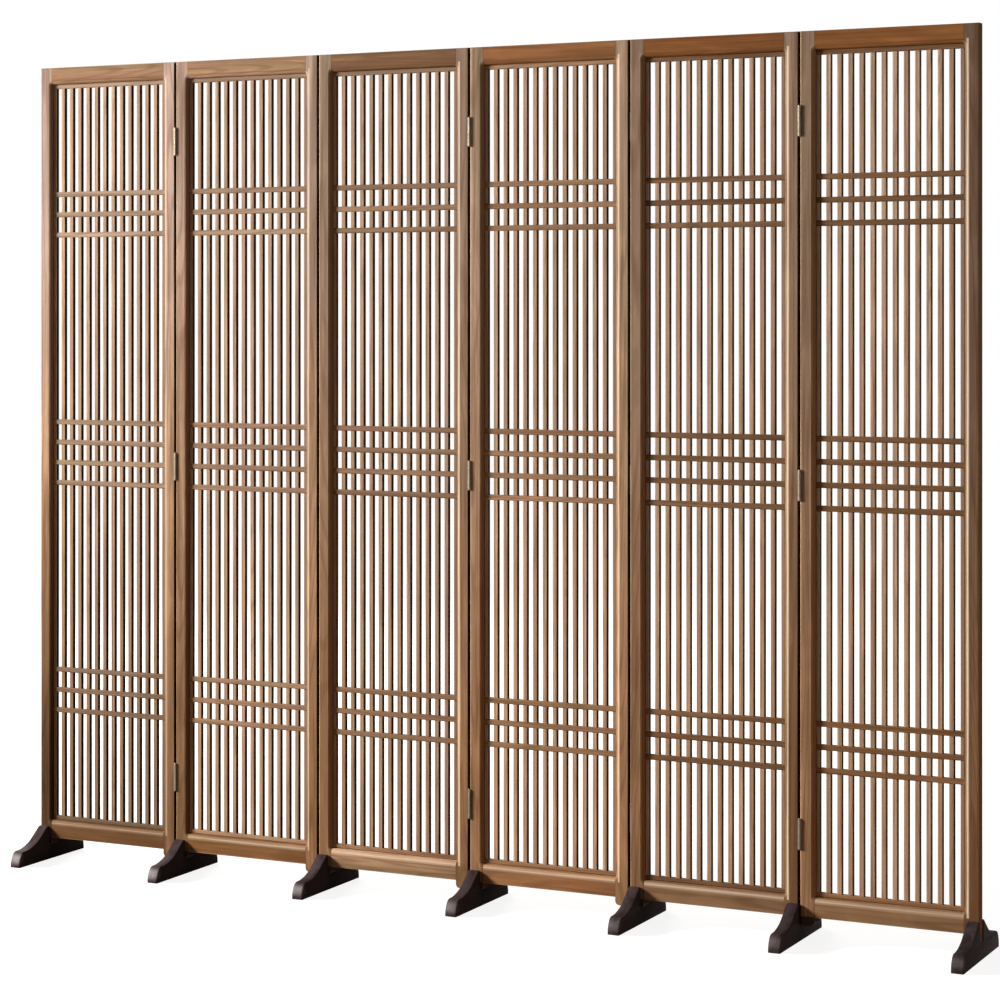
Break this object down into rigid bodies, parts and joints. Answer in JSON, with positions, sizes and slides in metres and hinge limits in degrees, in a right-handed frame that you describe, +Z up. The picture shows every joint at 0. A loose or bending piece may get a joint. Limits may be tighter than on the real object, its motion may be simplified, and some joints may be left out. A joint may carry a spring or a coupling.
{
  "type": "folding slat room divider",
  "caption": "Free-standing folding screen of hinged wooden panels, upright slats in moulded frames, on dark slotted cross feet.",
  "frame": {"origin": "on the floor under the middle of the row, half way through the panels' thickness", "axes": "+X along the row of panels to the viewer's right, -Y towards the front, +Z up"},
  "size_m": [2.19, 0.25, 1.8],
  "materials": {
    "stile_wood": "satin",
    "rail_wood": "satin",
    "slat_wood": "satin",
    "foot_finish": "near-black satin stain",
    "hinge_metal": "satin",
    "screw_metal": "satin"
  },
  "bodies": {
    "panel_1": {"stile_left_1": "stile_wood", "stile_right_1": "stile_wood", "top_rail_1": "rail_wood", "bottom_rail_1": "rail_wood", "slats_1": "slat_wood", "bars_1": "slat_wood", "leaves_1": "hinge_metal", "screws_1": "screw_metal", "pins_1": "hinge_metal", "foot_1": "foot_finish"},
    "panel_2": {"stile_left_2": "stile_wood", "stile_right_2": "stile_wood", "top_rail_2": "rail_wood", "bottom_rail_2": "rail_wood", "slats_2": "slat_wood", "bars_2": "slat_wood", "leaves_2": "hinge_metal", "screws_2": "screw_metal", "pins_2": "hinge_metal", "foot_2": "foot_finish"},
    "panel_3": {"stile_left_3": "stile_wood", "stile_right_3": "stile_wood", "top_rail_3": "rail_wood", "bottom_rail_3": "rail_wood", "slats_3": "slat_wood", "bars_3": "slat_wood", "leaves_3": "hinge_metal", "screws_3": "screw_metal", "pins_3": "hinge_metal", "foot_3": "foot_finish"},
    "panel_4": {"stile_left_4": "stile_wood", "stile_right_4": "stile_wood", "top_rail_4": "rail_wood", "bottom_rail_4": "rail_wood", "slats_4": "slat_wood", "bars_4": "slat_wood", "leaves_4": "hinge_metal", "screws_4": "screw_metal", "pins_4": "hinge_metal", "foot_4": "foot_finish"},
    "panel_5": {"stile_left_5": "stile_wood", "stile_right_5": "stile_wood", "top_rail_5": "rail_wood", "bottom_rail_5": "rail_wood", "slats_5": "slat_wood", "bars_5": "slat_wood", "leaves_5": "hinge_metal", "screws_5": "screw_metal", "pins_5": "hinge_metal", "foot_5": "foot_finish", "foot_6": "foot_finish"},
    "panel_6": {"stile_left_6": "stile_wood", "stile_right_6": "stile_wood", "top_rail_6": "rail_wood", "bottom_rail_6": "rail_wood", "slats_6": "slat_wood", "bars_6": "slat_wood", "leaves_6": "hinge_metal", "screws_6": "screw_metal", "foot_7": "foot_finish"}
  },
  "joints": [
    {"name": "fold_1_2", "type": "hinge", "parent": "panel_1", "child": "panel_2", "pos_m": [-0.73, -0.01346, 0.902], "axis": [0, 0, -1], "range_deg": [0, 90]},
    {"name": "fold_2_3", "type": "hinge", "parent": "panel_2", "child": "panel_3", "pos_m": [-0.365, 0.01346, 0.902], "axis": [0, 0, 1], "range_deg": [0, 90]},
    {"name": "fold_3_4", "type": "hinge", "parent": "panel_3", "child": "panel_4", "pos_m": [0, -0.01346, 0.902], "axis": [0, 0, -1], "range_deg": [0, 90]},
    {"name": "fold_4_5", "type": "hinge", "parent": "panel_4", "child": "panel_5", "pos_m": [0.365, 0.01346, 0.902], "axis": [0, 0, 1], "range_deg": [0, 90]},
    {"name": "fold_5_6", "type": "hinge", "parent": "panel_5", "child": "panel_6", "pos_m": [0.73, -0.01346, 0.902], "axis": [0, 0, -1], "range_deg": [0, 90]}
  ]
}
